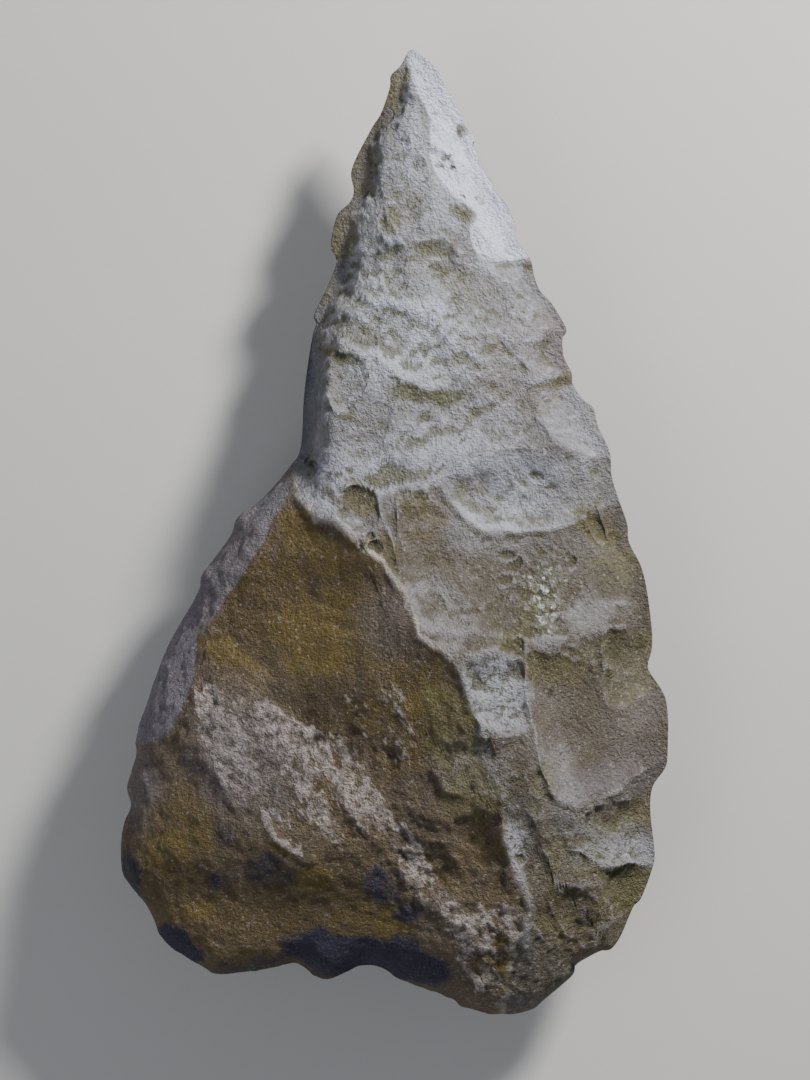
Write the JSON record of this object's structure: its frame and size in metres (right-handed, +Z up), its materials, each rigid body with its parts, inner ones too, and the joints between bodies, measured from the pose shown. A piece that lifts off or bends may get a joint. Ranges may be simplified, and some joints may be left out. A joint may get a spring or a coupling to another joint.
{
  "type": "stone hand axe",
  "caption": "Pointed stone hand axe, knapped to a sharp edge on both sides of its tip, with a rounded butt of natural cobble crust to hold.",
  "frame": {"origin": "centre of the outline, on the flat spot that the stone rests on", "axes": "+Z up out of the upper face, +Y from the butt to the tip, +X to the right of the upper face"},
  "size_m": [0.1021, 0.1797, 0.0416],
  "materials": {
    "stone": "weathered flint, pale patina on the flaked faces and brown crust on the butt"
  },
  "bodies": {
    "root": {"hand_axe": "stone"}
  },
  "joints": []
}
